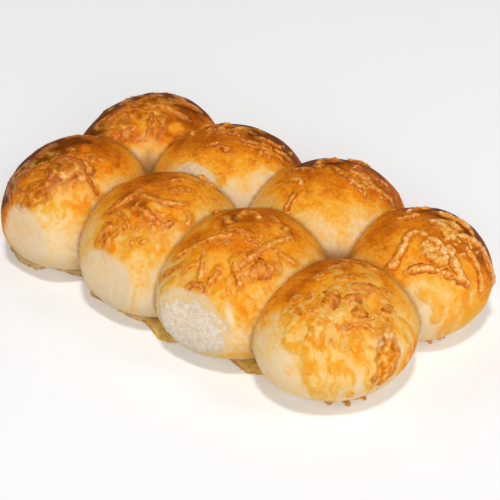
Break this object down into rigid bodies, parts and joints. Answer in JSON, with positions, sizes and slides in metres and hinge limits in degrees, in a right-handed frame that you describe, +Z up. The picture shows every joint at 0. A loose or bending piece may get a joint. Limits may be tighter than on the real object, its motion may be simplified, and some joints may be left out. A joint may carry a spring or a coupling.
{
  "type": "pull-apart batch of cheese rolls",
  "caption": "Oblong batch of round bread rolls baked side by side in two rows, with melted cheese shreds on top; food that rests on a flat base.",
  "frame": {"origin": "middle of the bounding box, on the flat base", "axes": "+X along the rows of four rolls, +Y from the front row with the torn flat marks to the back row, +Z up"},
  "size_m": [0.273, 0.1637, 0.0659],
  "materials": {
    "crust": "golden baked bread crust with browned melted cheese, slightly glossy on top, pale and matt low on the sides"
  },
  "bodies": {
    "root": {"roll_batch": "crust"}
  },
  "joints": []
}
